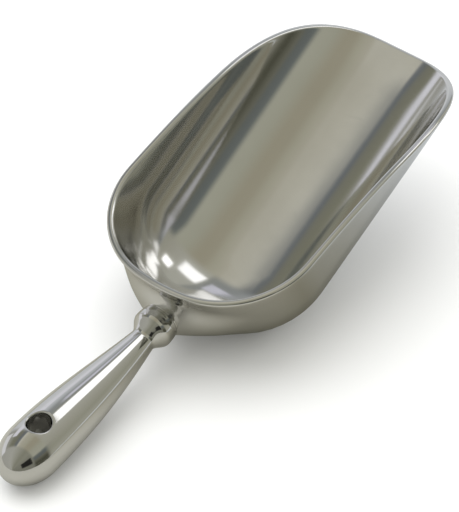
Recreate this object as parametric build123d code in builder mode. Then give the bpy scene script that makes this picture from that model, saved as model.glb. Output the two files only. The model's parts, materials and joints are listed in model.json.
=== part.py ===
"""Cast aluminium ice scoop: an open trough bowl and a solid handle that seats in the bowl's neck.

The scoop is modelled as it rests on a table: on the heel of its bowl and on the end of its handle,
with the lip raised. +X points to the lip, +Z is up, and the origin is on the table under the middle
of the scoop. All sizes are in millimetres.
"""
import os
from math import atan2, cos, hypot, radians, sin, tan

from build123d import *

# ---------------------------------------------------------------- bowl sizes
bowl_width = 95.0           # outside, at the height of the rear rim
lip_width = 98.0            # outside, where the side walls would end
bowl_length = 154.0         # along the floor, from the rear wall's foot to the lip
rear_height = 60.5          # rear rim above the floor line
wall = 2.8
side_draft = 3.0            # degrees that the walls lean outwards
heel_radius = 36.5          # outside radius between the floor and the walls
corner_extra = 1.5          # plan corner radius at the floor, beyond the heel radius
rear_radius = 96.0          # plan curve of the rear wall
rim_rear_pull = (23.6, -8.7)    # how the rim leaves the rear wall: along, up
rim_lip_pull = (-39.4, 45.3)    # how the rim comes down to the lip: along, up
rim_round = 1.1
lift_angle = 25.3           # degrees that the floor slopes up to the lip at rest

# ---------------------------------------------------------------- neck sizes
neck_height = 38.0          # where the neck leaves the rear wall, above the floor line
neck_fall = 10.0            # degrees that the neck slopes down, at rest
neck_length = 7.5           # rear wall to the joint face
neck_radius = 8.2           # at the joint face
web_width = 52.0            # the wide web between neck and rear wall, where it nears the wall
web_height = 29.0
web_gap = 1.0               # the web's wide section, behind the rear wall's foot
root_width = 66.0           # the web's root, inside the rear wall
root_height = 37.0
root_depth = 9.0            # ahead of the rear wall's foot
tenon_radius = 4.0
tenon_length = 7.0
socket_clearance = 0.03     # between tenon and socket, on the radius
socket_end_gap = 0.5
knob_length = 12.0          # joint face to the waist
knob_radius = 8.8
waist_radius = 5.4

# ---------------------------------------------------------------- handle sizes
grip_length = 85.2          # waist to the handle's end, level
grip_start_pull = 30.0      # how far the grip keeps the neck's direction
grip_end_pull = 20.0        # how far the grip keeps its end's direction
grip_end_fall = 6.5         # degrees that the grip's end slopes down, at rest
grip_steps = 12             # sections that the grip's swell is drawn through
bulb_width = 24.8
bulb_thickness = 23.8
dome_length = 17.0          # length of the domed end
hole_radius = 5.0
hole_from_dome = 5.4        # hole axis to where the domed end starts, along the grip
hole_mouth_round = 0.8

# ---------------------------------------------------------------- shared geometry
lift = radians(lift_angle)
draft = radians(side_draft)
neck_slope = radians(neck_fall)
end_slope = radians(grip_end_fall)

# the heel's centre, above the floor line and ahead of the rear wall's foot
heel_centre_along = heel_radius * (1 - sin(draft)) / cos(draft)
foot_z = heel_radius - sin(lift) * heel_centre_along - cos(lift) * heel_radius

# neck and grip, measured from the rear wall's foot
neck_root_x = -cos(lift) * tan(draft) * neck_height - sin(lift) * neck_height
neck_root_z = foot_z - sin(lift) * tan(draft) * neck_height + cos(lift) * neck_height
waist_distance = neck_length + knob_length
end_x = neck_root_x - cos(neck_slope) * waist_distance - grip_length

# the domed end is half an ellipsoid that touches the table
dome_x = end_x + hypot(dome_length * cos(end_slope), bulb_thickness / 2 * sin(end_slope))
dome_z = hypot(bulb_thickness / 2 * cos(end_slope), dome_length * sin(end_slope))

# the foot is placed so that the origin is under the middle of the scoop
lip_slope = atan2(rim_lip_pull[1], -rim_lip_pull[0])
lip_along = bowl_length - rim_round / tan(lip_slope / 2)
lip_x = cos(lift) * lip_along - sin(lift) * rim_round + rim_round
foot_x = -(lip_x + end_x) / 2

u_dir = Vector(cos(lift), 0, sin(lift))
level = Plane(origin=(foot_x, 0, foot_z), x_dir=u_dir, z_dir=(-sin(lift), 0, cos(lift)))
rear_plane = Plane(origin=level.origin, x_dir=(0, -1, 0), z_dir=-u_dir)
level_side = Plane(origin=level.origin, x_dir=u_dir, z_dir=(0, -1, 0))

neck_dir = Vector(-cos(neck_slope), 0, -sin(neck_slope))
neck_root = Vector(foot_x + neck_root_x, 0, neck_root_z)
joint_point = neck_root + neck_dir * neck_length
waist_point = neck_root + neck_dir * waist_distance
dome_point = Vector(foot_x + dome_x, 0, dome_z)
end_dir = Vector(-cos(end_slope), 0, -sin(end_slope))
joint_plane = Plane(origin=joint_point, x_dir=(0, 1, 0), z_dir=neck_dir)
neck_side = Plane(origin=joint_point, x_dir=neck_dir, z_dir=(0, 1, 0))
neck_axis = Axis(joint_point, neck_dir)

os.makedirs("parts", exist_ok=True)


def trough(inset):
    """The bowl's solid form, with its floor and walls moved inwards by inset."""
    wall_inset = inset / cos(draft)
    half_width = bowl_width / 2 - rear_height * tan(draft) - wall_inset
    half_lip = lip_width / 2 - rear_height * tan(draft) - wall_inset
    rear_arc = rear_radius - wall_inset
    corner_x = rear_radius - (rear_arc**2 - half_width**2) ** 0.5
    front_x = bowl_length + 3 * wall
    height = rear_height * 1.5
    with BuildPart() as form:
        with BuildSketch(level.offset(inset)):
            with BuildLine():
                ThreePointArc((corner_x, -half_width), (wall_inset, 0), (corner_x, half_width))
                Polyline(
                    (corner_x, half_width),
                    (front_x, half_lip),
                    (front_x, -half_lip),
                    (corner_x, -half_width),
                )
            make_face()
            corners = vertices().sort_by(Axis(level.origin, u_dir))[:2]
            fillet(corners, radius=heel_radius + corner_extra - inset)
        extrude(amount=height, taper=-side_draft)
        floor_face = form.faces().sort_by(Axis(level.origin, level.z_dir))[0]
        floor_edges = floor_face.edges().sort_by(Axis(level.origin, u_dir))[:-1]
        fillet(floor_edges, radius=heel_radius - inset)
    return form.part


outside = trough(0)
inside = trough(wall)

# ---------------------------------------------------------------- bowl
with BuildPart() as bowl:
    add(outside)
    with BuildSketch(joint_plane):
        Circle(neck_radius)
    with BuildSketch(rear_plane.offset(web_gap)):
        with Locations((0, neck_height)):
            Ellipse(web_width / 2, web_height / 2)
    with BuildSketch(rear_plane.offset(-root_depth)):
        with Locations((0, neck_height)):
            Ellipse(root_width / 2, root_height / 2)
    loft(ruled=True)
    add(inside, mode=Mode.SUBTRACT)
    with BuildSketch(level_side):
        rear_top = (-sin(draft) * rear_height, rear_height)
        rear_pulled = (rear_top[0] + rim_rear_pull[0], rear_top[1] + rim_rear_pull[1])
        lip_pulled = (bowl_length + rim_lip_pull[0], rim_lip_pull[1])
        with BuildLine():
            Bezier(rear_top, rear_pulled, lip_pulled, (bowl_length, 0))
            Polyline(
                (bowl_length, 0),
                (bowl_length - rim_lip_pull[0] / 4, -rim_lip_pull[1] / 4),
                (bowl_length * 1.5, -rim_lip_pull[1] / 4),
                (bowl_length * 1.5, rear_height * 2),
                (rear_top[0] - 4 * rim_rear_pull[0], rear_height * 2),
                (rear_top[0] - 4 * rim_rear_pull[0], rear_top[1] - 4 * rim_rear_pull[1]),
                rear_top,
            )
        make_face()
    extrude(amount=bowl_width, both=True, mode=Mode.SUBTRACT)
    rim = bowl.faces().filter_by(GeomType.EXTRUSION)
    fillet(rim.edges(), radius=rim_round)
    with BuildSketch(joint_plane):
        Circle(tenon_radius + socket_clearance)
    extrude(amount=-(tenon_length + socket_end_gap), mode=Mode.SUBTRACT)
bowl.part.label = "bowl"
export_step(bowl.part, "parts/bowl.step")

# ---------------------------------------------------------------- handle
neck_pulled = waist_point + neck_dir * grip_start_pull
dome_pulled = dome_point - end_dir * grip_end_pull
with BuildLine(Plane.XZ) as spine:
    Bezier(
        (waist_point.X, waist_point.Z),
        (neck_pulled.X, neck_pulled.Z),
        (dome_pulled.X, dome_pulled.Z),
        (dome_point.X, dome_point.Z),
    )
grip_line = spine.edges()[0]
grip_run = grip_line.length


def grip_plane(distance):
    """The plane across the grip at a distance from the waist; the domed end is straight."""
    on_line = min(distance, grip_run)
    place = grip_line.position_at(on_line, position_mode=PositionMode.LENGTH)
    direction = grip_line.tangent_at(on_line, position_mode=PositionMode.LENGTH)
    return Plane(origin=place + direction * (distance - on_line), x_dir=(0, 1, 0), z_dir=direction)


# (distance from the waist, width, thickness): the grip swells as a quarter sine, then the domed end
grip_sections = []
for step in range(grip_steps + 1):
    swell = sin(radians(90 * step / grip_steps))
    grip_sections.append(
        (
            grip_run * step / grip_steps,
            2 * waist_radius + (bulb_width - 2 * waist_radius) * swell,
            2 * waist_radius + (bulb_thickness - 2 * waist_radius) * swell,
        )
    )
for dome_angle in (24, 43, 59, 71, 80):
    turn = radians(dome_angle)
    grip_sections.append(
        (grip_run + dome_length * sin(turn), bulb_width * cos(turn), bulb_thickness * cos(turn))
    )

hole_section = grip_plane(grip_run - hole_from_dome)
hole_plane = Plane(origin=hole_section.origin, x_dir=(0, 1, 0), z_dir=hole_section.y_dir)

with BuildPart() as handle:
    for distance, width, thickness in grip_sections:
        with BuildSketch(grip_plane(distance)):
            Ellipse(width / 2, thickness / 2)
    loft()
    with BuildSketch(neck_side):
        with BuildLine():
            Spline(
                (0, neck_radius),
                (knob_length * 0.45, knob_radius),
                (knob_length, waist_radius),
                tangents=((1, 0.35), (1, -0.1)),
            )
            Polyline(
                (knob_length, waist_radius),
                (knob_length, 0),
                (-tenon_length, 0),
                (-tenon_length, tenon_radius),
                (0, tenon_radius),
                (0, neck_radius),
            )
        make_face()
    revolve(axis=neck_axis)
    with Locations(hole_plane):
        Hole(hole_radius)
    hole_wall = handle.faces().filter_by(
        lambda f: f.geom_type == GeomType.CYLINDER and abs(f.radius - hole_radius) < 0.001
    )
    mouths = hole_wall.edges().filter_by(GeomType.LINE, reverse=True)
    fillet(mouths, radius=hole_mouth_round)
handle.part.label = "handle"
export_step(handle.part, "parts/handle.step")
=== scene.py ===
import json
from math import atan2, cos, hypot, pi, radians, sin, tan

import bpy
import numpy as np
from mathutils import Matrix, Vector


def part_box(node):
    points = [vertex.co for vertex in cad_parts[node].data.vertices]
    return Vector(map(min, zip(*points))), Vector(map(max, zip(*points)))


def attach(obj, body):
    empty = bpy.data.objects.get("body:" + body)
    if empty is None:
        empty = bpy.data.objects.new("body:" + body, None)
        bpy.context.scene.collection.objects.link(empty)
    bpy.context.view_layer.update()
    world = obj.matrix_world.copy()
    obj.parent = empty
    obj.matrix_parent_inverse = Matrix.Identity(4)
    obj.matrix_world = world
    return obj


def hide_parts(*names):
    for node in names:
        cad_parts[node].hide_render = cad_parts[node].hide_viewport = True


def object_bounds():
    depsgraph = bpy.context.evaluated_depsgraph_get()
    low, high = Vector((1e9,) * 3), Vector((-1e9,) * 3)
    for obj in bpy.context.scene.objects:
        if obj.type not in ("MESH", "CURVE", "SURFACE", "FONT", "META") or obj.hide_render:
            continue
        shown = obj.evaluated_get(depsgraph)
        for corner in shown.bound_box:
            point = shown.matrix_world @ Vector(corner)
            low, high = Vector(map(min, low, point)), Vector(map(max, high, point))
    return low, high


# Ice scoop in polished cast aluminium: bowl, handle, their finish and the studio they stand in.
# Everything is in metres, in the frame of the packed model: +X points to the lip and +Z is up.
# Polished metal shows every facet, so the pieces are fine grids placed on surfaces worked out from
# the sizes. At the neck and the hanging hole a block of faces makes way for a grid with its edge.

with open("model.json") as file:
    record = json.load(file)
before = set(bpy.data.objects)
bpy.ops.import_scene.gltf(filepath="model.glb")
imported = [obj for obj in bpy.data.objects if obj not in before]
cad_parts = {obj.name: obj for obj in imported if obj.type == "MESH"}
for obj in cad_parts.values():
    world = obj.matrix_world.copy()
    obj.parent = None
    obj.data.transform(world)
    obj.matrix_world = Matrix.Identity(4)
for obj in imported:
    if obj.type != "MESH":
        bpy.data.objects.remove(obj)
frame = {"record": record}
cad_low, cad_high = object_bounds()
bowl_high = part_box("bowl")[1]
hanging_hole = frame["record"]["mounts"][0]

bl_info = {
    "name": "Ice scoop",
    "version": (1, 0, 0),
    "blender": (4, 5, 0),
    "location": "View3D > Sidebar > Ice scoop",
    "description": "Makes a polished aluminium ice scoop and the studio that it stands in",
    "category": "Object",
}


def length_property(name, description, default):
    return bpy.props.FloatProperty(
        name=name, description=description, default=default, unit="LENGTH", precision=5
    )


def angle_property(name, description, degrees):
    return bpy.props.FloatProperty(
        name=name, description=description, default=radians(degrees), unit="ROTATION"
    )


def share_property(name, description, default):
    return bpy.props.FloatProperty(
        name=name, description=description, default=default, subtype="FACTOR"
    )


def colour_property(name, description, default):
    return bpy.props.FloatVectorProperty(
        name=name, description=description, default=default, size=4, subtype="COLOR", min=0, max=1
    )


# ---- settings
def pull_property(name, description, default):
    return bpy.props.FloatVectorProperty(
        name=name, description=description + ": along and up", default=default, size=2, unit="LENGTH"
    )


class BowlSettings(bpy.types.PropertyGroup):
    """Sizes of the bowl, in its own level frame: along the floor, across it and up from it."""

    width: length_property("Width", "Outside, at the height of the rear rim", 0.095)
    lip_width: length_property("Lip width", "Outside, where the side walls would end", 0.098)
    length: length_property("Length", "Along the floor, from the rear wall's foot to the lip", 0.154)
    rear_height: length_property("Rear height", "Rear rim above the floor", 0.0605)
    wall: length_property("Wall", "Wall thickness", 0.0028)
    draft: angle_property("Draft", "How far the walls lean outwards", 3.0)
    heel_radius: length_property("Heel radius", "Outside radius between floor and walls", 0.0365)
    corner_extra: length_property("Corner extra", "Plan corner radius beyond the heel radius", 0.0015)
    rear_radius: length_property("Rear radius", "Plan curve of the rear wall", 0.096)
    rim_round: length_property("Rim rounding", "Radius along both edges of the rim", 0.0011)
    dish_depth: length_property("Dish depth", "How far the floor inside sinks at its middle", 0.0008)
    dish_width: length_property("Dish width", "Across the sunken part of the floor", 0.052)
    dish_fade: length_property("Dish fade", "From the lip to the dish's full depth", 0.025)
    dish_height: length_property("Dish height", "How far up the heel the dish reaches", 0.012)
    lift: angle_property("Lift", "How far the floor slopes up to the lip at rest", 25.3)
    rim_rear_pull: pull_property("Rim rear pull", "How the rim leaves the rear wall", (0.0236, -0.0087))
    rim_lip_pull: pull_property("Rim lip pull", "How the rim comes down to the lip", (-0.0394, 0.0453))


class NeckSettings(bpy.types.PropertyGroup):
    """Sizes of the neck and of the wide web that joins it to the rear wall."""

    height: length_property("Height", "Where the neck leaves the rear wall", 0.038)
    fall: angle_property("Fall", "How far the neck slopes down at rest", 10.0)
    length: length_property("Length", "Rear wall to the joint", 0.0075)
    radius: length_property("Radius", "Neck radius at the joint", 0.0082)
    seam_depth: length_property("Seam depth", "Depth of the fine seam line at the joint", 0.00035)
    web_width: length_property("Web width", "Across the web, near the rear wall", 0.053)
    web_height: length_property("Web height", "Up the web, near the rear wall", 0.029)
    web_gap: length_property("Web gap", "The web's wide section, behind the wall's foot", 0.0025)
    foot_across: length_property("Foot reach", "Web's foot on the wall, to each side", 0.037)
    foot_above: length_property("Foot above", "Web's foot on the wall, above the neck", 0.0165)
    foot_below: length_property("Foot below", "Web's foot on the wall, below the neck", 0.0240)


class HandleSettings(bpy.types.PropertyGroup):
    """Sizes of the knob and the grip."""

    knob_length: length_property("Knob length", "Joint to the waist", 0.012)
    knob_radius: length_property("Knob radius", "Largest radius of the knob", 0.0088)
    waist_radius: length_property("Waist radius", "Radius behind the knob", 0.0054)
    start_pull: length_property("Start pull", "How far the grip keeps the neck's direction", 0.030)
    end_pull: length_property("End pull", "How far the grip keeps its end's direction", 0.020)
    end_fall: angle_property("End fall", "How far the grip's end slopes down", 6.5)
    bulb_width: length_property("Bulb width", "Widest part of the grip", 0.0248)
    bulb_thickness: length_property("Bulb thickness", "Thickest part of the grip", 0.0238)
    dome_length: length_property("Dome length", "Length of the domed end", 0.017)
    hole_from_dome: length_property("Hole from dome", "Hole axis to the start of the dome", 0.0054)
    hole_mouth_round: length_property("Hole mouth", "Rounding of the hole's mouths", 0.0008)


class FinishSettings(bpy.types.PropertyGroup):
    """The polished aluminium."""

    colour: colour_property("Colour", "Bright aluminium", (0.70, 0.697, 0.685, 1))
    worn_colour: colour_property("Worn colour", "Slightly duller patches", (0.64, 0.635, 0.615, 1))
    bowl_roughness: share_property("Bowl roughness", "Gloss of the buffed bowl", 0.11)
    handle_roughness: share_property("Handle roughness", "Gloss of the handle", 0.07)


class StudioSettings(bpy.types.PropertyGroup):
    """The floor, the lights and the camera."""

    floor_colour: colour_property("Floor", "Pale floor", (0.88, 0.885, 0.90, 1))
    camera_turn: angle_property("Camera turn", "Round the scoop, from looking along +Y", -51.96)
    camera_rise: angle_property("Camera rise", "Above the horizon", 43.48)
    camera_distance: length_property("Camera distance", "From the point it looks at", 1.459)
    camera_lens: bpy.props.FloatProperty(
        name="Lens", description="Focal length on a 36 mm sensor", default=245.0, unit="CAMERA"
    )
    look_at: bpy.props.FloatVectorProperty(
        name="Look at",
        description="The point that the camera looks at",
        default=(0.0308, 0.015, 0.0),
        size=3,
        subtype="XYZ",
        unit="LENGTH",
    )


# ---- mesh helpers
MERGE_DISTANCE = 2e-6
LEAST_FACE = 1e-7


def place_grid(name, points):
    """A grid, selected alone, whose corner in row r and column c stands at points[r, c]."""
    rows, columns = points.shape[:2]
    bpy.ops.object.select_all(action="DESELECT")
    bpy.ops.mesh.primitive_grid_add(x_subdivisions=columns - 1, y_subdivisions=rows - 1, size=1)
    grid = bpy.context.object
    grid.name = name
    grid.data.name = name
    grid.data.vertices.foreach_set("co", points.reshape(-1).astype(np.float32))
    grid.data.update()
    return grid


def drop_faces(grid, columns, blocks):
    """Deletes the faces in each block: (first row, last row, first column, last column)."""
    chosen = np.zeros(len(grid.data.polygons), bool)
    for low_row, high_row, low_column, high_column in blocks:
        for row in range(low_row, high_row):
            start = row * columns
            chosen[start + low_column:start + high_column] = True
    bpy.ops.object.mode_set(mode="EDIT")
    bpy.ops.mesh.select_mode(type="FACE")
    bpy.ops.mesh.select_all(action="DESELECT")
    bpy.ops.object.mode_set(mode="OBJECT")
    grid.data.polygons.foreach_set("select", chosen)
    bpy.ops.object.mode_set(mode="EDIT")
    bpy.ops.mesh.delete(type="FACE")
    bpy.ops.object.mode_set(mode="OBJECT")


def weld(body, patch, sharp_angle):
    """Joins two grids into one closed piece: shared corners merged, faces outwards, smooth."""
    bpy.ops.object.select_all(action="DESELECT")
    body.select_set(True)
    patch.select_set(True)
    bpy.context.view_layer.objects.active = body
    bpy.ops.object.join()
    bpy.ops.object.mode_set(mode="EDIT")
    bpy.ops.mesh.select_all(action="SELECT")
    bpy.ops.mesh.remove_doubles(threshold=MERGE_DISTANCE)
    bpy.ops.mesh.dissolve_degenerate(threshold=LEAST_FACE)
    bpy.ops.mesh.select_all(action="SELECT")
    bpy.ops.mesh.normals_make_consistent(inside=False)
    bpy.ops.object.mode_set(mode="OBJECT")
    bpy.ops.object.shade_smooth_by_angle(angle=sharp_angle)
    return body


def boundary(low_row, high_row, low_column, high_column):
    """(row, column) of each corner round a block, in order, closed."""
    bottom = [(low_row, c) for c in range(low_column, high_column)]
    right = [(r, high_column) for r in range(low_row, high_row)]
    top = [(high_row, c) for c in range(high_column, low_column, -1)]
    left = [(r, low_column) for r in range(high_row, low_row, -1)]
    loop = bottom + right + top + left
    return loop + loop[:1]


def unit(vectors):
    """Each vector at length 1."""
    return vectors / np.linalg.norm(vectors, axis=-1, keepdims=True)


def round_corner(start, corner, end, steps):
    """Points of the round curve from start to end that the corner's two sides touch."""
    opening = np.arccos(np.clip((unit(start - corner) * unit(end - corner)).sum(-1), -1, 1))
    weight = np.sin(opening / 2)[..., None]
    curve = []
    for step in range(1, steps):
        t = step / steps
        blend = (1 - t) ** 2 + 2 * weight * t * (1 - t) + t**2
        curve.append(((1 - t) ** 2 * start + 2 * weight * t * (1 - t) * corner + t**2 * end) / blend)
    return curve


def bezier(t, points):
    """Points at t on the curve that four control points give."""
    first, second, third, fourth = (np.asarray(p, float) for p in points)
    t = np.asarray(t, float)[..., None]
    return (
        (1 - t) ** 3 * first
        + 3 * t * (1 - t) ** 2 * second
        + 3 * t**2 * (1 - t) * third
        + t**3 * fourth
    )


# ---- bowl shape
class LevelFrame:
    """The bowl's own frame: along the floor to the lip, across to +Y, and up from the floor."""

    def __init__(self, bowl):
        reach = bowl.heel_radius * (1 - sin(bowl.draft)) / cos(bowl.draft)
        foot_z = bowl.heel_radius - sin(bowl.lift) * reach - cos(bowl.lift) * bowl.heel_radius
        lip_slope = atan2(bowl.rim_lip_pull[1], -bowl.rim_lip_pull[0])
        lip_along = bowl.length - bowl.rim_round / tan(lip_slope / 2)
        lip_x = cos(bowl.lift) * lip_along - sin(bowl.lift) * bowl.rim_round + bowl.rim_round
        self.foot = np.array((bowl_high.x - lip_x, 0, foot_z))
        self.along = np.array((cos(bowl.lift), 0, sin(bowl.lift)))
        self.up = np.array((-sin(bowl.lift), 0, cos(bowl.lift)))

    def place(self, along, across, up):
        """World points from level ones."""
        along, across, up = np.broadcast_arrays(along, across, up)
        points = self.foot + along[..., None] * self.along + up[..., None] * self.up
        points[..., 1] += across
        return points

    def measure(self, point):
        """Level (along, across, up) of a world point."""
        offset = np.asarray(point, float) - self.foot
        return offset @ self.along, offset[..., 1], offset @ self.up


RIM_STEPS = 2001
HALVINGS = 50
NEAR_RIM = 0.99     # share of a rib at which its direction at the rim is read


class Shell:
    """The wall's surface moved inwards by inset. s runs round the outline, q from the floor up."""

    def __init__(self, bowl, level, inset):
        wall_inset = inset / cos(bowl.draft)
        lean = bowl.rear_height * tan(bowl.draft)
        half = bowl.width / 2 - lean - wall_inset
        half_lip = bowl.lip_width / 2 - lean - wall_inset
        self.level = level
        self.draft = bowl.draft
        self.floor = inset
        self.heel = bowl.heel_radius - inset
        self.reach = self.heel * (1 - sin(self.draft)) / cos(self.draft)
        self.arc_length = self.heel * (pi / 2 - self.draft)
        self.rear_arc = bowl.rear_radius - wall_inset
        self.rear_centre = bowl.rear_radius
        self.corner = bowl.heel_radius + bowl.corner_extra - inset
        corner_x = bowl.rear_radius - (self.rear_arc**2 - half**2) ** 0.5
        front_x = bowl.length + 3 * bowl.wall
        self.spread = atan2(half_lip - half, front_x - corner_x)
        side = np.array((cos(self.spread), sin(self.spread)))
        outward = np.array((-sin(self.spread), cos(self.spread)))
        start = np.array((corner_x, half)) - self.corner * outward
        offset = start - np.array((self.rear_centre, 0))
        span = self.rear_arc - self.corner
        middle = offset @ side
        self.corner_centre = start + side * (-middle - (middle**2 - offset @ offset + span**2) ** 0.5)
        self.rear_turn = atan2(self.corner_centre[1], self.rear_centre - self.corner_centre[0])
        self.side_turn = pi / 2 - self.spread
        self.rear_end = self.rear_arc * self.rear_turn
        self.corner_end = self.rear_end + self.corner * (self.side_turn - self.rear_turn)
        self.side_start = self.corner_centre + self.corner * outward
        self.side = side
        rim_start = np.array((-sin(bowl.draft) * bowl.rear_height, bowl.rear_height))
        rear_pull = np.array(bowl.rim_rear_pull)
        rim_end = np.array((bowl.length, 0))
        rim = bezier(
            np.linspace(0, 1, RIM_STEPS),
            (rim_start, rim_start + rear_pull, rim_end + np.array(bowl.rim_lip_pull), rim_end),
        )
        self.rim = np.vstack((rim_start - 4 * rear_pull, rim))

    def outline(self, s):
        """Plan point and outward direction on the floor's outline."""
        s = np.asarray(s, float)
        distance = np.abs(s)
        in_rear = distance <= self.rear_end
        turn = np.where(
            in_rear,
            distance / self.rear_arc,
            self.rear_turn + (distance - self.rear_end) / self.corner,
        )
        turn = np.minimum(turn, self.side_turn)
        outward = np.stack((-np.cos(turn), np.sin(turn)), -1)
        plan = np.where(
            in_rear[..., None],
            np.array((self.rear_centre, 0)) + self.rear_arc * outward,
            self.corner_centre + self.corner * outward,
        )
        plan = plan + np.maximum(distance - self.corner_end, 0)[..., None] * self.side
        mirror = np.stack((np.ones_like(s), np.where(s < 0, -1.0, 1.0)), -1)
        return plan * mirror, outward * mirror

    def section(self, q):
        """(out, up) on the wall's section: floor below 0, then the heel's arc, then the wall."""
        q = np.asarray(q, float)
        turn = np.clip(q / self.heel, 0, pi / 2 - self.draft)
        beyond = np.maximum(q - self.arc_length, 0)
        out = -self.reach + self.heel * np.sin(turn) + beyond * sin(self.draft) + np.minimum(q, 0)
        up = self.heel * (1 - np.cos(turn)) + beyond * cos(self.draft)
        return out, up

    def level_place(self, s, q):
        """Level (along, across, up) of the point at s and q."""
        plan, outward = self.outline(s)
        out, up = self.section(q)
        place = plan + outward * np.asarray(out)[..., None]
        return place[..., 0], place[..., 1], self.floor + up

    def place(self, s, q):
        """World point at s and q."""
        return self.level.place(*self.level_place(s, q))

    def rim_height(self, along):
        """Height of the rim over a place along the floor."""
        return np.interp(along, self.rim[:, 0], self.rim[:, 1])

    def rim_along(self, up):
        """Where along the floor the rim stands at a height."""
        return np.interp(up, self.rim[::-1, 1], self.rim[::-1, 0])

    def rim_q(self, s):
        """Where the rim cuts the section at s."""
        low = np.full(np.shape(s), -self.reach)
        high = np.full(np.shape(s), self.arc_length + 2 * self.heel)
        for _ in range(HALVINGS):
            middle = (low + high) / 2
            along, _, up = self.level_place(s, middle)
            above = up > self.rim_height(along)
            high = np.where(above, middle, high)
            low = np.where(above, low, middle)
        return (low + high) / 2

    def side_s(self, along, q=0.0):
        """Outline distance of the side-wall section whose point at q stands at along."""
        out = self.section(q)[0]
        return self.corner_end + (along - self.side_start[0] + out * sin(self.spread)) / cos(self.spread)


REAR_RIBS = 8       # ribs over half of the rear curve
CORNER_RIBS = 40
SIDE_RIBS = 52
LIP_RIBS = 56
RIB_ROWS = 56       # rows from the floor's spine to the rim, on each side of the wall
EDGE_ROWS = 7       # rows round each edge of the rim
LIP_SHARE = 0.82    # where the ribs start to fan round the lip, as a share of the length
WEB_ROWS = 22       # rows of the web's curve from the joint to its foot
APRON_ROWS = 5      # and rows in the wall from there to the block's edge


def half_ribs(shell, bowl):
    """For the ribs from the rear to the lip's middle: (s, q) at the rim, s at the floor, spine."""
    rear = np.linspace(0, shell.rear_end, REAR_RIBS, endpoint=False)
    corner = np.linspace(shell.rear_end, shell.corner_end, CORNER_RIBS, endpoint=False)
    s_rear = np.concatenate((rear, corner))
    spine_rear = shell.level_place(shell.corner_end, 0.0)[0]
    spine_front = bowl.length * LIP_SHARE
    spine_side = np.linspace(spine_rear, spine_front, SIDE_RIBS, endpoint=False)
    s_side = shell.side_s(spine_side)
    s_round = np.concatenate((s_rear, s_side))
    q_round = shell.rim_q(s_round)
    spine_round = np.concatenate((np.full(len(s_rear), spine_rear), spine_side))
    # round the lip the ribs fan out from the spine's front end
    s_front = shell.side_s(spine_front)
    half_floor = shell.level_place(s_front, 0.0)[1]
    q_start = float(shell.rim_q(np.array(s_front)))
    half_lip = shell.level_place(shell.side_s(shell.rim_along(shell.floor)), 0.0)[1]
    q_lip = np.linspace(q_start, -half_lip / cos(shell.spread), LIP_RIBS + 1)
    up = shell.floor + shell.section(q_lip)[1]
    s_lip = shell.side_s(shell.rim_along(up), q_lip)
    share = half_floor / (half_floor + np.maximum(q_lip, 0))
    s_lip_floor = s_front + (s_lip - s_front) * share
    return (
        np.concatenate((s_round, s_lip)),
        np.concatenate((q_round, q_lip)),
        np.concatenate((s_round, s_lip_floor)),
        np.concatenate((spine_round, np.full(len(q_lip), spine_front))),
    )


def floor_runs(shell, ribs):
    """Where each rib leaves the flat floor, how far that is from the spine, and its whole length."""
    _, q_rim, s_floor, spine = ribs
    contact_x, contact_y, _ = shell.level_place(s_floor, np.minimum(q_rim, 0))
    run = np.hypot(contact_x - spine, contact_y)
    return contact_x, contact_y, run, run + np.maximum(q_rim, 0)


def rib_points(shell, ribs, travel):
    """World points at a travelled share of each rib, from the spine outwards, and their (s, q)."""
    s_rim, q_rim, s_floor, spine = ribs
    contact_x, contact_y, floor_run, whole = floor_runs(shell, ribs)
    distance = travel * whole
    q = distance - floor_run
    s = s_floor + (s_rim - s_floor) * np.clip(q / np.maximum(q_rim, 1e-9), 0, 1)
    on_wall = shell.place(s, np.maximum(q, 0))
    share = np.clip(distance / floor_run, 0, 1)
    on_floor = shell.level.place(spine + (contact_x - spine) * share, contact_y * share, shell.floor)
    return np.where((q > 0)[:, None], on_wall, on_floor), s, q


def mirrored(points):
    """The other side's ribs, in reverse order, then these ones; the lip's middle rib is shared."""
    points[..., -1, 1] = 0
    other = points[..., ::-1, :].copy()
    other[..., 1] *= -1
    return np.concatenate((other[..., :-1, :], points), axis=-2)


def rim_edge(bowl, shell, ribs, edge, over):
    """One edge of the rim: where its rounding starts and ends, and that start's share of the rib."""
    down = unit(rib_points(shell, ribs, NEAR_RIM)[0] - edge)
    opening = np.arccos((down * over).sum(-1))
    cut = bowl.rim_round / np.tan(opening / 2)
    share = 1 - cut / floor_runs(shell, ribs)[3]
    return rib_points(shell, ribs, share)[0], edge + over * cut[:, None], share


def bowl_rows(bowl, outer, inner):
    """Rows over half of the bowl, from the outside's spine over the rim to the inside's, and the
    (s, q) of the outside's rows."""
    outer_ribs = half_ribs(outer, bowl)
    inner_ribs = half_ribs(inner, bowl)
    outer_edge = rib_points(outer, outer_ribs, 1.0)[0]
    inner_edge = rib_points(inner, inner_ribs, 1.0)[0]
    across = unit(inner_edge - outer_edge)
    outer_start, outer_end, outer_share = rim_edge(bowl, outer, outer_ribs, outer_edge, across)
    inner_start, inner_end, inner_share = rim_edge(bowl, inner, inner_ribs, inner_edge, -across)
    rows, params = [], []
    for row in range(RIB_ROWS + 1):
        points, s, q = rib_points(outer, outer_ribs, outer_share * row / RIB_ROWS)
        rows.append(points)
        params.append(np.stack((s, q), -1))
    rows += round_corner(outer_start, outer_edge, outer_end, EDGE_ROWS)
    rows += [outer_end, inner_end]
    rows += round_corner(inner_end, inner_edge, inner_start, EDGE_ROWS)
    for row in range(RIB_ROWS, -1, -1):
        points = rib_points(inner, inner_ribs, inner_share * row / RIB_ROWS)[0]
        rows.append(points - dish(bowl, inner, points)[:, None] * inner.level.up)
    return np.stack(rows), np.stack(params)


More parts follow.
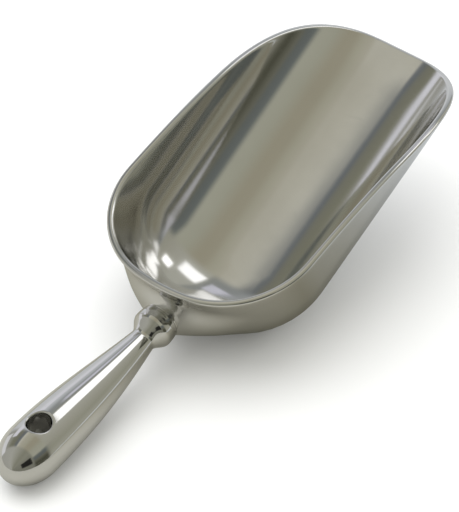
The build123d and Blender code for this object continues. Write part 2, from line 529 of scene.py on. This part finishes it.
def dish(bowl, inner, points):
    """How far the floor inside sinks at each point; nothing near the walls and the lip."""
    along, across, up = inner.level.measure(points)
    hollow = np.clip(1 - (2 * across / bowl.dish_width) ** 2, 0, 1) ** 2
    low = np.clip(1 - (up - inner.floor) / bowl.dish_height, 0, 1) ** 2
    share = np.clip((bowl.length - along) / bowl.dish_fade, 0, 1)
    return bowl.dish_depth * hollow * low * share**2 * (3 - 2 * share)


ACROSS = np.array((0.0, 1.0, 0.0))
SEAM_FLOOR = 1.6        # reach of the joint's face below the surface, in seam depths
SEAM_LIP = 0.3          # roundness of the seam's lips, in seam depths
WEB_LEAVING = 0.62      # how far the web runs straight from the joint towards its wide section
WEB_LANDING = 0.95      # how far it runs along the wall before its foot
LEAST_LANDING = 0.2     # and the least of that, as a share of the web's length
STEP_AHEAD = 0.01


class NeckFrame:
    """The joint's centre and axis, and directions across it."""

    def __init__(self, bowl, neck, level):
        root = level.place(-tan(bowl.draft) * neck.height, 0.0, neck.height)
        self.axis = np.array((-cos(neck.fall), 0, -sin(neck.fall)))
        self.up = np.array((-sin(neck.fall), 0, cos(neck.fall)))
        self.joint = root + self.axis * neck.length

    def ring(self, back, radius, angles):
        """Points round the neck's axis, back from the joint towards the handle."""
        angles = np.asarray(angles)[..., None]
        spoke = np.cos(angles) * ACROSS + np.sin(angles) * self.up
        return self.joint + self.axis * back + radius * spoke

    def seam_rows(self, neck, angles, side):
        """The joint's face and one half of its seam line; side is 1 for the handle, -1 for the neck."""
        seam = neck.seam_depth
        lip = SEAM_LIP * seam
        return [
            np.broadcast_to(self.joint, (len(angles), 3)),
            self.ring(0, neck.radius - SEAM_FLOOR * seam, angles),
            self.ring(0, neck.radius - seam, angles),
            self.ring(side * lip, neck.radius - lip, angles),
        ]


def web_rows(neck, neck_frame, shell, loop_s, loop_q):
    """Rows from the joint's middle, over the web, to the block's edge in the rear wall."""
    level = shell.level
    q_neck = shell.arc_length + (neck.height - shell.heel * (1 - sin(shell.draft))) / cos(shell.draft)
    rise = loop_q - q_neck
    foot_tall = np.where(rise > 0, neck.foot_above, neck.foot_below)
    angles = np.arctan2(rise / foot_tall, loop_s / neck.foot_across)
    foot_s = neck.foot_across * np.cos(angles)
    foot_q = q_neck + foot_tall * np.sin(angles)
    foot = shell.place(foot_s, foot_q)
    next_s = foot_s + (loop_s - foot_s) * STEP_AHEAD
    next_q = foot_q + (loop_q - foot_q) * STEP_AHEAD
    ahead = shell.place(next_s, next_q)
    foot_way = unit(ahead - foot)
    mouth = neck_frame.ring(-neck.seam_depth, neck.radius, angles)
    knee = level.place(
        np.full(len(angles), -neck.web_gap),
        neck.web_width / 2 * np.cos(angles),
        neck.height + neck.web_height / 2 * np.sin(angles),
    )
    web_length = np.linalg.norm(foot - mouth, axis=-1)
    pull = np.maximum(((foot - knee) * foot_way).sum(-1), LEAST_LANDING * web_length)
    first = mouth + (knee - mouth) * WEB_LEAVING
    second = foot - foot_way * pull[:, None] * WEB_LANDING
    rows = neck_frame.seam_rows(neck, angles, -1)
    for row in range(WEB_ROWS):
        t = np.full(len(angles), row / WEB_ROWS)
        rows.append(bezier(t, (mouth, first, second, foot)))
    for row in range(APRON_ROWS + 1):
        share = row / APRON_ROWS
        rows.append(shell.place(foot_s + (loop_s - foot_s) * share, foot_q + (loop_q - foot_q) * share))
    return np.stack(rows)


WEB_BLOCK_RIBS = 38     # the block of the rear wall that the web replaces: ribs to each side
WEB_BLOCK_LOW = 11      # its first row above the spine
WEB_BLOCK_HIGH = RIB_ROWS - 1
BOWL_GRAIN = radians(-25)       # slope of the buffing lines to the level
HANDLE_GRAIN = radians(8)


class SCOOP_OT_bowl(bpy.types.Operator):
    """Makes the bowl with its rounded rim, and the web and neck on its rear wall"""

    bl_idname = "scoop.bowl"
    bl_label = "Bowl"

    def execute(self, context):
        bowl, neck = context.scene.scoop_bowl, context.scene.scoop_neck
        level = LevelFrame(bowl)
        outer, inner = Shell(bowl, level, 0.0), Shell(bowl, level, bowl.wall)
        half, params = bowl_rows(bowl, outer, inner)
        points = mirrored(half)
        middle = half.shape[1] - 1
        columns = points.shape[1]
        body = place_grid("bowl_body", points)
        block = (WEB_BLOCK_LOW, WEB_BLOCK_HIGH, middle - WEB_BLOCK_RIBS, middle + WEB_BLOCK_RIBS)
        drop_faces(body, columns - 1, [block])
        loop = boundary(*block)
        loop_s, loop_q = [], []
        for row, column in loop:
            s, q = params[row, abs(column - middle)]
            loop_s.append(s if column >= middle else -s)
            loop_q.append(q)
        web = place_grid(
            "web",
            web_rows(neck, NeckFrame(bowl, neck, level), outer, np.array(loop_s), np.array(loop_q)),
        )
        piece = weld(body, web, radians(35))
        piece.name = "scoop_bowl"
        finish = context.scene.scoop_finish
        material = polished_aluminium("bowl_polish", finish, finish.bowl_roughness, BOWL_GRAIN)
        piece.data.materials.append(material)
        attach(piece, "root")
        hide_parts("bowl")
        return {"FINISHED"}


# ---- handle
KNOB_ROWS = 22
GRIP_ROWS = 76
DOME_ROWS = 30
ROUND_COLUMNS = 96
MOUTH_ROWS = 8              # rows from the block's edge to the hole's mouth
MOUTH_EDGE_ROWS = 6
MOUTH_DEPTH = 1.1           # how deep the mouth's rounding goes, in its radii
TUBE_ROWS = 4
MOUTH_BLOCK_COLUMNS = 12    # the block of the grip that each mouth replaces: columns to each side
MOUTH_BLOCK_REACH = 0.0086  # and its reach along the grip
LINE_STEPS = 1001
CURVE_STEP = 1e-4
KNOB_CROWN = 0.45           # where the knob is thickest, as a share of its length
KNOB_RISE = 0.25            # slope of the knob where it leaves the joint
KNOB_FALL = -0.02           # and at its crown and its waist


class Grip:
    """The grip's curved axis and its oval sections, by distance from the waist."""

    def __init__(self, neck_frame, handle):
        self.handle = handle
        end_way = np.array((-cos(handle.end_fall), 0, -sin(handle.end_fall)))
        half_thick = handle.bulb_thickness / 2
        level, steep = cos(handle.end_fall), sin(handle.end_fall)
        dome_x = cad_low.x + hypot(handle.dome_length * level, half_thick * steep)
        dome_z = hypot(half_thick * level, handle.dome_length * steep)
        waist = neck_frame.joint + neck_frame.axis * handle.knob_length
        dome = np.array((dome_x, 0, dome_z))
        self.points = (
            waist,
            waist + neck_frame.axis * handle.start_pull,
            dome - end_way * handle.end_pull,
            dome,
        )
        self.t = np.linspace(0, 1, LINE_STEPS)
        line = bezier(self.t, self.points)
        steps = np.linalg.norm(np.diff(line, axis=0), axis=-1)
        self.distance = np.concatenate(((0,), np.cumsum(steps)))
        self.run = self.distance[-1]

    def section(self, distance):
        """Centre, way, up, half width and half thickness at a distance from the waist."""
        handle = self.handle
        on_line = np.minimum(distance, self.run)
        t = np.interp(on_line, self.distance, self.t)
        centre = bezier(t, self.points)
        ahead = bezier(np.minimum(t + CURVE_STEP, 1), self.points)
        behind = bezier(np.minimum(t, 1 - CURVE_STEP) - CURVE_STEP, self.points)
        way = unit(ahead - behind)
        beyond = np.maximum(distance - self.run, 0)
        centre = centre + way * beyond[..., None]
        up = np.stack((way[..., 2], np.zeros_like(t), -way[..., 0]), -1)
        swell = np.sin(pi / 2 * on_line / self.run)
        half_width = handle.waist_radius + (handle.bulb_width / 2 - handle.waist_radius) * swell
        half_thick = handle.waist_radius + (handle.bulb_thickness / 2 - handle.waist_radius) * swell
        dome = np.sqrt(np.maximum(1 - (beyond / handle.dome_length) ** 2, 0))
        return centre, way, up, half_width * dome, half_thick * dome

    def ring(self, distance, angles):
        """Points round the oval section at a distance from the waist."""
        centre, _, up, half_width, half_thick = self.section(np.full(len(angles), distance))
        return (
            centre
            + (half_width * np.cos(angles))[:, None] * ACROSS
            + (half_thick * np.sin(angles))[:, None] * up
        )

    def above(self, distance, across, face):
        """The surface point over a place on the grip's middle plane; face is 1 on top, -1 below."""
        centre, _, up, half_width, half_thick = self.section(distance)
        height = half_thick * np.sqrt(np.maximum(1 - (across / half_width) ** 2, 0))
        return centre + across[:, None] * ACROSS + (face * height)[:, None] * up


def knob_radius_at(handle, neck, back):
    """Radius of the knob, rising from the joint to its crown and falling to the waist."""
    crown = handle.knob_length * KNOB_CROWN
    if back < crown:
        start, end, run, slope = neck.radius, handle.knob_radius, crown, KNOB_RISE
        t = back / run
    else:
        start, end, run, slope = (
            handle.knob_radius, handle.waist_radius, handle.knob_length - crown, KNOB_FALL
        )
        t = (back - crown) / run
    return (
        (2 * t**3 - 3 * t**2 + 1) * start
        + (t**3 - 2 * t**2 + t) * run * slope
        + (3 * t**2 - 2 * t**3) * end
        + (t**3 - t**2) * run * KNOB_FALL
    )


def mouth_rows(grip, handle, hole_radius, hole_at, loop_distance, loop_across):
    """Rows from the top block's edge, down through the hole, to the bottom block's edge."""
    along = loop_distance - hole_at
    angles = np.arctan2(loop_across, along)
    rim_radius = hole_radius + handle.hole_mouth_round
    way = np.stack((np.cos(angles), np.sin(angles)), -1)
    halves = []
    for face in (1, -1):
        rows = []
        for row in range(MOUTH_ROWS + 1):
            share = row / MOUTH_ROWS
            place_along = along + (rim_radius * way[:, 0] - along) * share
            place_across = loop_across + (rim_radius * way[:, 1] - loop_across) * share
            rows.append(grip.above(hole_at + place_along, place_across, face))
        edge = grip.above(hole_at + hole_radius * way[:, 0], hole_radius * way[:, 1], face)
        up = grip.section(np.array([hole_at]))[2]
        wall = edge - face * handle.hole_mouth_round * MOUTH_DEPTH * up
        rows += round_corner(rows[-1], edge, wall, MOUTH_EDGE_ROWS)
        rows.append(wall)
        halves.append(rows)
    top, bottom = halves
    tube = [
        top[-1] + (bottom[-1] - top[-1]) * step / TUBE_ROWS for step in range(1, TUBE_ROWS)
    ]
    return np.stack(top + tube + bottom[::-1])


class SCOOP_OT_handle(bpy.types.Operator):
    """Makes the handle: the knob, the swelling grip with its domed end, and the hanging hole"""

    bl_idname = "scoop.handle"
    bl_label = "Handle"

    def execute(self, context):
        scene = context.scene
        bowl, neck, handle = scene.scoop_bowl, scene.scoop_neck, scene.scoop_handle
        neck_frame = NeckFrame(bowl, neck, LevelFrame(bowl))
        grip = Grip(neck_frame, handle)
        angles = np.linspace(0, 2 * pi, ROUND_COLUMNS + 1)
        seam = neck.seam_depth
        rows = neck_frame.seam_rows(neck, angles, 1)
        for row in range(KNOB_ROWS):
            back = seam + (handle.knob_length - seam) * row / KNOB_ROWS
            rows.append(neck_frame.ring(back, knob_radius_at(handle, neck, back), angles))
        first_grip_row = len(rows)
        distances = list(np.linspace(0, grip.run, GRIP_ROWS, endpoint=False))
        turns = np.linspace(0, pi / 2, DOME_ROWS + 1)
        distances += list(grip.run + handle.dome_length * np.sin(turns))
        rows += [grip.ring(distance, angles) for distance in distances]
        shaft = place_grid("shaft", np.stack(rows))

        hole_radius = hanging_hole["dims"]["r_mm"] / 1000
        hole_at = grip.run - handle.hole_from_dome
        low = int(np.searchsorted(distances, hole_at - MOUTH_BLOCK_REACH))
        high = int(np.searchsorted(distances, hole_at + MOUTH_BLOCK_REACH))
        top = ROUND_COLUMNS // 4
        reach = MOUTH_BLOCK_COLUMNS
        spans = [(centre - reach, centre + reach) for centre in (top, 3 * top)]
        blocks = [(first_grip_row + low, first_grip_row + high, *span) for span in spans]
        drop_faces(shaft, ROUND_COLUMNS, blocks)
        loop = boundary(low, high, *spans[0])
        loop_distance = np.array([distances[row] for row, _ in loop])
        half_width = grip.section(loop_distance)[3]
        loop_across = half_width * np.cos([angles[column] for _, column in loop])
        mouths = place_grid(
            "mouths", mouth_rows(grip, handle, hole_radius, hole_at, loop_distance, loop_across)
        )
        piece = weld(shaft, mouths, radians(40))
        piece.name = "scoop_handle"
        finish = scene.scoop_finish
        material = polished_aluminium("handle_polish", finish, finish.handle_roughness, HANDLE_GRAIN)
        piece.data.materials.append(material)
        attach(piece, "root")
        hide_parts("handle")
        return {"FINISHED"}


# ---- finish
def add_node(tree, kind, place, **values):
    """A new node at its place in the tree, with its values set."""
    node = tree.nodes.new(kind)
    node.location = place
    for name, value in values.items():
        setattr(node, name, value)
    return node


def add_noise(tree, place, vector, scale, detail):
    """A noise texture read at vector."""
    noise = add_node(tree, "ShaderNodeTexNoise", place)
    noise.inputs["Scale"].default_value = scale
    noise.inputs["Detail"].default_value = detail
    tree.links.new(vector, noise.inputs["Vector"])
    return noise.outputs["Fac"]


def add_bump(tree, place, height, strength, distance):
    """A bump that follows height."""
    bump = add_node(tree, "ShaderNodeBump", place)
    bump.inputs["Strength"].default_value = strength
    bump.inputs["Distance"].default_value = distance
    tree.links.new(height, bump.inputs["Height"])
    return bump


def polished_aluminium(name, finish, roughness, grain):
    """Buffed metal: fine lines along the grain, cloudy gloss, hairline scratches, gentle waves."""
    material = bpy.data.materials.new(name)
    material.use_nodes = True
    tree = material.node_tree
    shader = tree.nodes["Principled BSDF"]
    shader.inputs["Metallic"].default_value = 1.0
    place = add_node(tree, "ShaderNodeTexCoord", (-1500, 0)).outputs["Object"]

    lines_map = add_node(tree, "ShaderNodeMapping", (-1300, 200))
    lines_map.inputs["Rotation"].default_value = (0, grain, 0)
    lines_map.inputs["Scale"].default_value = (60, 2600, 2600)
    tree.links.new(place, lines_map.inputs["Vector"])
    lines = add_noise(tree, (-1100, 200), lines_map.outputs["Vector"], 1.0, 3.0)
    cloud = add_noise(tree, (-1100, -50), place, 45.0, 4.0)

    scratch_map = add_node(tree, "ShaderNodeMapping", (-1300, -300))
    scratch_map.inputs["Rotation"].default_value = (radians(20), radians(35), radians(50))
    scratch_map.inputs["Scale"].default_value = (1, 1, 18)
    tree.links.new(place, scratch_map.inputs["Vector"])
    scratches = add_node(tree, "ShaderNodeTexVoronoi", (-1100, -300), feature="DISTANCE_TO_EDGE")
    scratches.inputs["Scale"].default_value = 60.0
    tree.links.new(scratch_map.outputs["Vector"], scratches.inputs["Vector"])
    hairline = add_node(tree, "ShaderNodeMapRange", (-900, -300))
    hairline.inputs["From Max"].default_value = 0.012
    hairline.inputs["To Min"].default_value = 1.0
    hairline.inputs["To Max"].default_value = 0.0
    tree.links.new(scratches.outputs["Distance"], hairline.inputs["Value"])

    colour = add_node(tree, "ShaderNodeMix", (-600, 200), data_type="RGBA")
    colour.inputs["A"].default_value = finish.colour
    colour.inputs["B"].default_value = finish.worn_colour
    tree.links.new(cloud, colour.inputs["Factor"])
    tree.links.new(colour.outputs["Result"], shader.inputs["Base Color"])

    gloss = add_node(tree, "ShaderNodeMapRange", (-600, -50))
    gloss.inputs["From Min"].default_value = 0.3
    gloss.inputs["From Max"].default_value = 0.7
    gloss.inputs["To Min"].default_value = roughness * 0.8
    gloss.inputs["To Max"].default_value = roughness * 1.25
    tree.links.new(cloud, gloss.inputs["Value"])
    scuffed = add_node(tree, "ShaderNodeMath", (-400, -50), operation="MULTIPLY_ADD")
    scuffed.inputs[1].default_value = 0.05
    tree.links.new(hairline.outputs["Result"], scuffed.inputs[0])
    tree.links.new(gloss.outputs["Result"], scuffed.inputs[2])
    tree.links.new(scuffed.outputs["Value"], shader.inputs["Roughness"])

    waves = add_noise(tree, (-1100, -550), place, 22.0, 1.0)
    wave_bump = add_bump(tree, (-600, -550), waves, 1.0, 0.00012)
    line_bump = add_bump(tree, (-400, -400), lines, 0.25, 0.000012)
    tree.links.new(wave_bump.outputs["Normal"], line_bump.inputs["Normal"])
    tree.links.new(line_bump.outputs["Normal"], shader.inputs["Normal"])
    return material


# ---- studio
# painted shade: the floor's tone in the metal's reflections, by distance along X in metres, darkest as a
# painted contact shadow under the heel
PAINTED_FLOOR_SHADE = (
    (-0.08, (0.46, 0.455, 0.42)),
    (-0.03, (0.40, 0.39, 0.34)),
    (0.02, (0.26, 0.25, 0.20)),
    (0.06, (0.34, 0.34, 0.31)),
    (0.13, (0.50, 0.52, 0.55)),
)
FLOOR_REACH = 0.2
FLOOR_SIZE = 12
SENSOR_WIDTH = 36


def floor_material(colour):
    """A pale floor that shows painted shade in the metal's reflections: darker there, most of all as a
    painted shadow under the heel.
    """
    material = bpy.data.materials.new("pale_floor")
    material.use_nodes = True
    tree = material.node_tree
    shader = tree.nodes["Principled BSDF"]
    place = add_node(tree, "ShaderNodeTexCoord", (-1100, -200)).outputs["Object"]
    split = add_node(tree, "ShaderNodeSeparateXYZ", (-900, -200))
    tree.links.new(place, split.inputs["Vector"])
    share = add_node(tree, "ShaderNodeMapRange", (-700, -200))
    share.inputs["From Min"].default_value = -FLOOR_REACH
    share.inputs["From Max"].default_value = FLOOR_REACH
    tree.links.new(split.outputs["X"], share.inputs["Value"])
    mirrored = band_ramp(tree, share.outputs["Result"], PAINTED_FLOOR_SHADE, -FLOOR_REACH, FLOOR_REACH)
    # glossy rays see the painted shade in place of the pale colour
    path = add_node(tree, "ShaderNodeLightPath", (-500, 200))
    tone = add_node(tree, "ShaderNodeMix", (-250, 0), data_type="RGBA")
    tone.inputs["A"].default_value = colour
    tree.links.new(mirrored, tone.inputs["B"])
    tree.links.new(path.outputs["Is Glossy Ray"], tone.inputs["Factor"])
    tree.links.new(tone.outputs["Result"], shader.inputs["Base Color"])
    shader.inputs["Roughness"].default_value = 0.6
    shader.inputs["Specular IOR Level"].default_value = 0.2
    return material


# room colours by angle from overhead, in degrees, positive towards +Y
BOWL_BANDS = (
    (-120, (0.12, 0.12, 0.09)),
    (-76, (0.07, 0.07, 0.05)),
    (-66, (0.14, 0.14, 0.11)),
    (-61, (0.125, 0.137, 0.13)),
    (-53, (0.135, 0.15, 0.145)),
    (-46, (0.38, 0.38, 0.31)),
    (-30, (0.36, 0.36, 0.29)),
    (-15, (0.335, 0.315, 0.24)),
    (-4, (0.34, 0.32, 0.245)),
    (6, (0.39, 0.38, 0.30)),
    (20, (0.435, 0.42, 0.345)),
    (28, (0.54, 0.53, 0.46)),
    (31, (0.18, 0.19, 0.195)),
    (35, (0.145, 0.16, 0.17)),
    (42, (0.19, 0.19, 0.155)),
    (54, (0.205, 0.205, 0.155)),
    (64, (0.30, 0.30, 0.26)),
    (100, (0.36, 0.36, 0.34)),
)
HANDLE_BANDS = (
    (-90, (0.37, 0.365, 0.31)),
    (-66, (0.31, 0.31, 0.25)),
    (-42, (0.36, 0.355, 0.30)),
    (-10, (0.43, 0.43, 0.38)),
    (12, (0.43, 0.43, 0.38)),
    (18, (0.27, 0.28, 0.26)),
    (32, (0.27, 0.285, 0.285)),
    (45, (0.48, 0.50, 0.52)),
    (62, (0.66, 0.68, 0.70)),
    (100, (0.52, 0.53, 0.56)),
)
REAR_BANDS = (
    (-76, (0.20, 0.20, 0.165)),
    (-48, (0.22, 0.22, 0.18)),
    (-36, (0.23, 0.23, 0.19)),
    (-28, (0.26, 0.26, 0.21)),
    (-12, (0.24, 0.24, 0.19)),
    (12, (0.33, 0.33, 0.28)),
    (34, (0.40, 0.40, 0.36)),
    (100, (0.36, 0.36, 0.33)),
)
HANDLE_SIDE = (0.22, 0.42)      # over these spans along X one set of bands gives way to the next
REAR_SIDE = (-0.24, -0.36)
ROOM_STRENGTH = 1.17

# soft windows and dark cards: span along X, span of angles in degrees, colour
ROOM_CARDS = (
    ((0.455, 0.70), (-17, 13), (1.4, 1.4, 1.4)),
    ((0.70, 0.83), (-42, -25), (1.9, 1.9, 1.9)),
    ((0.52, 0.70), (24, 33), (0.62, 0.62, 0.70)),
    ((0.072, 0.60), (53, 67), (0.72, 0.72, 0.78)),
    ((-0.40, 0.20), (72, 100), (0.70, 0.70, 0.72)),
    ((-0.80, -0.38), (-71, -44), (0.02, 0.02, 0.018)),
)
CARD_SOFTNESS = 0.02            # half of a card's soft edge along X
CARD_TILT_SOFTNESS = radians(2)


def smooth_step(tree, value, start, end):
    """0 below start and 1 above end, or the other way round."""
    step = add_node(tree, "ShaderNodeMapRange", (-300, 0), interpolation_type="SMOOTHSTEP")
    step.inputs["From Min"].default_value = min(start, end)
    step.inputs["From Max"].default_value = max(start, end)
    step.inputs["To Min"].default_value = 0.0 if start < end else 1.0
    step.inputs["To Max"].default_value = 1.0 if start < end else 0.0
    tree.links.new(value, step.inputs["Value"])
    return step.outputs["Result"]


def mix_colours(tree, factor, first, second):
    """first where factor is 0 and second, a socket or a colour, where it is 1."""
    mix = add_node(tree, "ShaderNodeMix", (100, 0), data_type="RGBA")
    tree.links.new(factor, mix.inputs["Factor"])
    tree.links.new(first, mix.inputs["A"])
    if isinstance(second, tuple):
        mix.inputs["B"].default_value = (*second, 1)
    else:
        tree.links.new(second, mix.inputs["B"])
    return mix.outputs["Result"]


def band_ramp(tree, share, bands, start=-180, end=180):
    """Colours at their places between start and end."""
    ramp = add_node(tree, "ShaderNodeValToRGB", (-100, 0))
    stops = ramp.color_ramp.elements
    stops.remove(stops[1])
    for step, (place, colour) in enumerate(bands):
        stop = stops[0] if step == 0 else stops.new(1.0)
        stop.position = (place - start) / (end - start)
        stop.color = (*colour, 1)
    tree.links.new(share, ramp.inputs["Fac"])
    return ramp.outputs["Color"]


def studio_world():
    """A room of soft bands of light that run along the scoop, with its windows."""
    world = bpy.data.worlds.new("studio")
    bpy.context.scene.world = world
    world.use_nodes = True
    tree = world.node_tree
    way = add_node(tree, "ShaderNodeTexCoord", (-900, 0)).outputs["Generated"]
    split = add_node(tree, "ShaderNodeSeparateXYZ", (-700, 0))
    tree.links.new(way, split.inputs["Vector"])
    ahead = split.outputs["X"]
    tilt = add_node(tree, "ShaderNodeMath", (-500, 0), operation="ARCTAN2")
    tree.links.new(split.outputs["Y"], tilt.inputs[0])
    tree.links.new(split.outputs["Z"], tilt.inputs[1])
    share = add_node(tree, "ShaderNodeMapRange", (-300, 200))
    share.inputs["From Min"].default_value = -pi
    share.inputs["From Max"].default_value = pi
    tree.links.new(tilt.outputs["Value"], share.inputs["Value"])
    bowl, handle, rear = (
        band_ramp(tree, share.outputs["Result"], bands)
        for bands in (BOWL_BANDS, HANDLE_BANDS, REAR_BANDS)
    )
    colour = mix_colours(tree, smooth_step(tree, ahead, *HANDLE_SIDE), bowl, handle)
    colour = mix_colours(tree, smooth_step(tree, ahead, *REAR_SIDE), colour, rear)
    for (low, high), (first, last), card in ROOM_CARDS:
        inside = smooth_step(tree, ahead, low - CARD_SOFTNESS, low + CARD_SOFTNESS)
        for value, edge, soft in (
            (ahead, high, -CARD_SOFTNESS),
            (tilt.outputs["Value"], radians(first), CARD_TILT_SOFTNESS),
            (tilt.outputs["Value"], radians(last), -CARD_TILT_SOFTNESS),
        ):
            both = add_node(tree, "ShaderNodeMath", (0, -200), operation="MULTIPLY")
            tree.links.new(inside, both.inputs[0])
            tree.links.new(smooth_step(tree, value, edge - soft, edge + soft), both.inputs[1])
            inside = both.outputs["Value"]
        colour = mix_colours(tree, inside, colour, card)
    background = tree.nodes["Background"]
    tree.links.new(colour, background.inputs["Color"])
    background.inputs["Strength"].default_value = ROOM_STRENGTH


def add_sun(name, way, energy, spread):
    """Soft white light from the direction way that the metal doesn't mirror."""
    lamp = bpy.data.lights.new(name, "SUN")
    lamp.energy = energy
    lamp.angle = spread
    holder = bpy.data.objects.new(name, lamp)
    bpy.context.collection.objects.link(holder)
    holder.location = Vector(way)
    holder.rotation_euler = Vector(way).to_track_quat("Z", "Y").to_euler()
    holder.visible_glossy = False


class SCOOP_OT_studio(bpy.types.Operator):
    """Makes the pale floor, the soft lights and the camera"""

    bl_idname = "scoop.studio"
    bl_label = "Studio"

    def execute(self, context):
        studio = context.scene.scoop_studio
        bpy.ops.object.select_all(action="DESELECT")
        bpy.ops.mesh.primitive_plane_add(size=FLOOR_SIZE, location=(0, 0, 0))
        floor = context.object
        floor.name = "studio_floor"
        floor.data.materials.append(floor_material(studio.floor_colour))
        studio_world()
        context.scene.view_settings.view_transform = "Standard"
        add_sun("key", (0.1, 0.42, 0.9), 1.4, radians(70))
        add_sun("fill", (0, 0, 1), 1.9, radians(170))

        turn, rise = studio.camera_turn, studio.camera_rise
        back = Vector((sin(turn) * cos(rise), -cos(turn) * cos(rise), sin(rise)))
        camera_data = bpy.data.cameras.new("camera")
        camera_data.lens = studio.camera_lens
        camera_data.sensor_width = SENSOR_WIDTH
        camera = bpy.data.objects.new("camera", camera_data)
        context.collection.objects.link(camera)
        camera.location = Vector(studio.look_at) + back * studio.camera_distance
        camera.rotation_euler = (-back).to_track_quat("-Z", "Y").to_euler()
        context.scene.camera = camera
        return {"FINISHED"}


# ---- panel and registration
class SCOOP_PT_panel(bpy.types.Panel):
    """Lists the scoop's pieces and their sizes"""

    bl_idname = "SCOOP_PT_panel"
    bl_label = "Ice scoop"
    bl_space_type = "VIEW_3D"
    bl_region_type = "UI"
    bl_category = "Ice scoop"

    def draw(self, context):
        for operator in OPERATORS:
            self.layout.operator(operator.bl_idname)
        for name, group in SETTINGS:
            box = self.layout.box()
            box.label(text=group.__doc__)
            for prop in group.__annotations__:
                box.prop(getattr(context.scene, name), prop)


OPERATORS = (SCOOP_OT_bowl, SCOOP_OT_handle, SCOOP_OT_studio)
SETTINGS = (
    ("scoop_bowl", BowlSettings),
    ("scoop_neck", NeckSettings),
    ("scoop_handle", HandleSettings),
    ("scoop_finish", FinishSettings),
    ("scoop_studio", StudioSettings),
)


def register():
    for name, group in SETTINGS:
        bpy.utils.register_class(group)
        setattr(bpy.types.Scene, name, bpy.props.PointerProperty(type=group))
    for operator in OPERATORS:
        bpy.utils.register_class(operator)
    bpy.utils.register_class(SCOOP_PT_panel)


def unregister():
    bpy.utils.unregister_class(SCOOP_PT_panel)
    for operator in reversed(OPERATORS):
        bpy.utils.unregister_class(operator)
    for name, group in reversed(SETTINGS):
        delattr(bpy.types.Scene, name)
        bpy.utils.unregister_class(group)


def main():
    register()
    bpy.ops.scoop.bowl()
    bpy.ops.scoop.handle()
    bpy.ops.scoop.studio()


if __name__ == "__main__":
    main()
